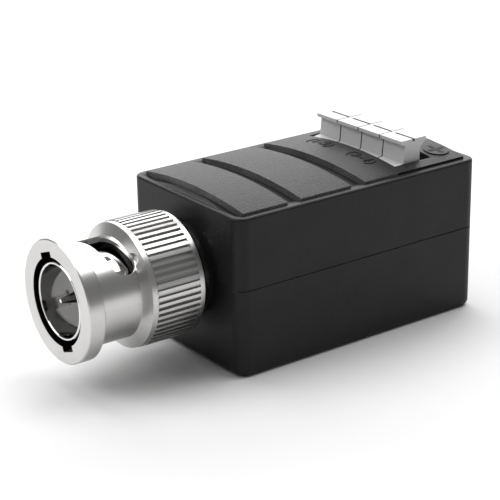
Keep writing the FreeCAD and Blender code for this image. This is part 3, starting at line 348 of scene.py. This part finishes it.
def paint_shade_in_lever_lines(material):
    """Painted shade in the fine line on each tab, and on the rims of the narrow gaps between the
    levers.
    """
    tree = material.node_tree
    x, y, z = split(tree, object_place(tree))
    middles = [POLE_PITCH * (index - (len(POLES) - 1) / 2) for index in range(len(POLES))]
    # Painted shade in the tab lines: from front to rear, from floor to top, and how far to the left and
    # right of the middle
    line_places, line_heights = (9.71, 10.09), (21.85, 22.2)
    line_left, line_right = 1.35, 1.9
    line = both(tree, band(tree, y, *line_places), band(tree, z, *line_heights))
    for middle in middles:
        along_line = band(tree, x, middle - line_left, middle + line_right)
        shade_where(material, both(tree, line, along_line), grey(0.1))
    # Painted shade on the gap rims: front, rear, low and high limit of each, on the sides that face the
    # next lever
    rims = ((7.9, 11.9, 21.9, 22.14),     # upper edge of the tab
            (7.9, 8.2, 21.7, 21.9),       # front edge of the tab
            (11.6, 11.9, 21.7, 21.9),     # rear edge of the tab
            (8.45, 8.8, 20.5, 21.7),      # front of the stem, upper half
            (8.3, 8.68, 19.4, 20.5),      # front of the stem, lower half
            (10.65, 10.95, 19.4, 21.7),   # rear of the stem
            (6.8, 8.68, 19.0, 19.4))      # upper edge of the foot
    half_gap = 0.09
    for middle in middles[:-1]:
        gap_middle = middle + POLE_PITCH / 2
        gap = band(tree, x, gap_middle - half_gap, gap_middle + half_gap)
        for front, rear, low, high in rims:
            rim = both(tree, band(tree, y, front, rear), band(tree, z, low, high))
            shade_where(material, both(tree, gap, rim), grey(0.12))


def roughen_panels_and_paint_step_light(material):
    """Coarse mould grain on the lid's panels, and painted light that makes the upright steps at their
    fronts and right ends paler.
    """
    tree = material.node_tree
    skin = next(node for node in tree.nodes if node.type == "GROUP")
    x, y, z = split(tree, object_place(tree))
    # Grain, deeper on the panels than on the walls
    panel_tops = (18.93, 22)
    panel_depth, wall_depth = 1.0, 0.2
    depth = calculate(tree, "MULTIPLY_ADD", band(tree, z, *panel_tops), panel_depth - wall_depth,
                      wall_depth)
    feed(tree, depth, skin.inputs["Depth"])
    # Painted light: upright step faces that look forward or to the right, within the panels, are made
    # many times paler
    panel_sides, panel_ends, step_heights = (-9.65, 9.65), (-16.4, 6), (18.3, 19.98)
    steepest, painted_light_gain = 0.5, 12
    facing = split(tree, tree.nodes.new("ShaderNodeNewGeometry").outputs["True Normal"])
    upright = calculate(tree, "COMPARE", facing["Z"], 0, steepest)
    turn = calculate(tree, "SUBTRACT", facing["X"], facing["Y"])
    looks_forward = calculate(tree, "GREATER_THAN", turn, 0)
    standing = both(tree, upright, band(tree, z, *step_heights))
    within = both(tree, band(tree, x, *panel_sides), band(tree, y, *panel_ends))
    steps = both(tree, both(tree, standing, within), looks_forward)
    # Painted light: the step faces' colour is multiplied many times over
    shade_where(material, steps, grey(painted_light_gain))


# Painting the pieces

BRIGHT_NICKEL = (grey(0.78, 0.01), grey(0.70, 0.01))


def paint(material, *names):
    for name in names:
        mesh = nodes[name].data
        mesh.materials.clear()
        mesh.materials.append(material)


def paint_poles(material, name):
    """Paints the piece of that name at every terminal."""
    paint(material, *[f"{name}_{pole}" for pole in POLES])


def paint_housing():
    shell = plastic("shell_plastic", grey(0.006), grey(0.014), roughness=0.45, size=0.2, depth=0.2,
                    specular=0.24)
    roughen_panels_and_paint_step_light(shell)
    paint(shell, "housing_bottom", "housing_top")


def paint_levers():
    levers = plastic("lever_plastic", grey(0.56), grey(0.62), roughness=0.45, size=0.12, depth=0.15)
    paint_shade_in_lever_lines(levers)
    paint_poles(levers, "lever")


def paint_nut():
    """Coupling nut, with painted shade on the floors of its flutes and deep inside, where no light
    comes back.
    """
    nut = metal("nut_nickel", grey(0.64, 0.01), grey(0.58, 0.01), roughness=0.29, pitch=0.2, depth=0.02)
    # Painted shade on the floors of the flutes
    paint_shade_ring(nut, radii=(6.88, 7.24), reaches=(2.72, 8.28), left=0.75)
    # Painted shade deep inside the nut and on its bore near the mouth
    paint_shade_ring(nut, radii=(0, 5.2), reaches=(8.3, 16.82), left=0.05)
    paint_shade_ring(nut, radii=(5.2, 5.66), reaches=(14.92, 16.82), left=0.05)
    paint(nut, "bayonet_nut")


def paint_sleeve():
    """Round contact, with painted shade on its outside in the nut's mouth and half-dark painted shade
    on its inner wall.
    """
    sleeve = metal("sleeve_nickel", *BRIGHT_NICKEL, roughness=0.07, depth=0.03)
    # Painted shade on the outside in the nut's mouth, and half-dark painted shade on the inner wall
    paint_shade_ring(sleeve, radii=(4.43, 4.5), reaches=(14.9, 16.4), left=0.05)
    paint_shade_ring(sleeve, radii=(4.0, 4.16), reaches=(0, 20), left=0.35)
    paint(sleeve, "contact_sleeve")


def paint_plug():
    paint_nut()
    paint_sleeve()
    paint(metal("body_nickel", *BRIGHT_NICKEL, roughness=0.16), "connector_body")
    paint(metal("pin_plate", grey(0.86, 0.02), grey(0.78, 0.03), roughness=0.12), "centre_pin")
    white = plastic("plug_insulator", grey(0.8), grey(0.84), roughness=0.4, size=0.3, depth=0.1)
    paint(white, "plug_dielectric")
    rubber = plastic("black_rubber", grey(0.012), grey(0.02), roughness=0.6, size=0.2, depth=0.2)
    paint(rubber, "plug_gasket")


def paint_inner_metal():
    steel = metal("spring_steel", grey(0.55), grey(0.45), roughness=0.3)
    paint(steel, "front_spring_washer", "rear_spring_washer", "retaining_ring")
    paint_poles(steel, "clamp_spring")
    tinned = metal("tinned_copper", grey(0.72, 0.02), grey(0.6, 0.02), roughness=0.35)
    paint(tinned, "ground_lug", "thrust_washer")
    paint_poles(tinned, "contact_bar")
    wire = metal("copper_wire", (0.6, 0.2, 0.08, 1), (0.5, 0.14, 0.05, 1), roughness=0.25)
    paint(wire, "primary_winding", "secondary_winding", "choke_winding")


def paint_board():
    board = plastic("board_green", (0.01, 0.09, 0.03, 1), (0.015, 0.13, 0.045, 1), roughness=0.3)
    paint(board, "circuit_board")
    ferrite = plastic("dark_ferrite", grey(0.02), grey(0.035), roughness=0.7, size=0.1, depth=0.5)
    paint(ferrite, "transformer_core", "choke_core")
    ceramic = plastic("arrester_ceramic", (0.55, 0.42, 0.3, 1), (0.62, 0.5, 0.38, 1), roughness=0.35)
    paint(ceramic, "surge_arrester")
    resistor = plastic("resistor_paint", (0.2, 0.38, 0.5, 1), (0.26, 0.45, 0.58, 1), roughness=0.3)
    paint(resistor, "line_resistor_1", "line_resistor_2")
    capacitor = plastic("capacitor_red", (0.35, 0.04, 0.02, 1), (0.42, 0.06, 0.03, 1), roughness=0.25)
    paint(capacitor, "coupling_capacitor")
    paint(plastic("terminal_black", grey(0.012), grey(0.018), roughness=0.4), "terminal_body")


# Marks on the lid: terminal numbers before the levers, and the polarity cross on its disc

def select_only(piece):
    bpy.ops.object.select_all(action="DESELECT")
    piece.select_set(True)
    bpy.context.view_layer.objects.active = piece


def lay_on_lid(piece, rise):
    """Drops a flat mark on the arched lid and gives it its thickness."""
    select_only(piece)
    bpy.ops.object.transform_apply(location=True, rotation=True, scale=True)
    drop = piece.modifiers.new("on_the_lid", "SHRINKWRAP")
    drop.target = nodes["housing_top"]
    drop.wrap_method = "PROJECT"
    drop.use_project_z = True
    drop.use_negative_direction = True
    drop.use_positive_direction = False
    drop.offset = -0.01 * MM
    bpy.ops.object.modifier_apply(modifier=drop.name)
    body = piece.modifiers.new("body", "SOLIDIFY")
    body.thickness = rise
    body.offset = 1
    bpy.ops.object.modifier_apply(modifier=body.name)


def add_terminal_number(name, words, x):
    before_the_levers = 5.2 * MM
    bpy.ops.object.select_all(action="DESELECT")
    bpy.ops.object.text_add(location=(x, before_the_levers, ABOVE_LID))
    label = bpy.context.object
    label.name = name
    label.data.body = words
    label.data.align_x = "CENTER"
    label.data.align_y = "CENTER"
    label.data.size = 1.75 * MM
    label.data.offset = 0.05 * MM
    label.data.space_character = 1.05
    label.scale = (1.25, 1, 1)
    bpy.ops.object.convert(target="MESH")
    label = bpy.context.object
    lay_on_lid(label, rise=0.06 * MM)
    return label


def add_polarity_cross():
    """Four arms drawn out of one small square."""
    half, reach = 0.2 * MM, 0.95 * MM
    disc_x, disc_y = 6.6 * MM, 14.6 * MM
    bpy.ops.object.select_all(action="DESELECT")
    bpy.ops.mesh.primitive_plane_add(size=half * 2, location=(0, 0, 0))
    cross = bpy.context.object
    cross.name = "polarity_cross"
    bpy.ops.object.mode_set(mode="EDIT")
    bpy.ops.mesh.select_mode(type="EDGE")
    for direction in ((1, 0), (-1, 0), (0, 1), (0, -1)):
        bpy.ops.mesh.select_all(action="DESELECT")
        bpy.ops.object.mode_set(mode="OBJECT")
        for edge in cross.data.edges:
            middle = sum((cross.data.vertices[index].co for index in edge.vertices), Vector()) / 2
            edge.select = (middle - Vector((*direction, 0)) * half).length < half / 10
        bpy.ops.object.mode_set(mode="EDIT")
        bpy.ops.mesh.extrude_region_move(
            TRANSFORM_OT_translate={"value": (direction[0] * reach, direction[1] * reach, 0)})
    bpy.ops.object.mode_set(mode="OBJECT")
    cross.location = (disc_x, disc_y, ABOVE_LID)
    lay_on_lid(cross, rise=0.04 * MM)
    return cross


def add_marks():
    ink = plastic("mark_black", grey(0.003), grey(0.006), roughness=0.5, size=0.1, depth=0.2,
                  specular=0.15)
    marks = [add_terminal_number("terminal_numbers_left", "(1-2)", x=-3.7 * MM),
             add_terminal_number("terminal_numbers_right", "(3-4)", x=3.9 * MM),
             add_polarity_cross()]
    for mark in marks:
        mark.data.materials.clear()
        mark.data.materials.append(ink)
        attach(mark, "box")


add_camera()
add_studio()
paint_housing()
paint_levers()
paint_plug()
paint_inner_metal()
paint_board()
add_marks()
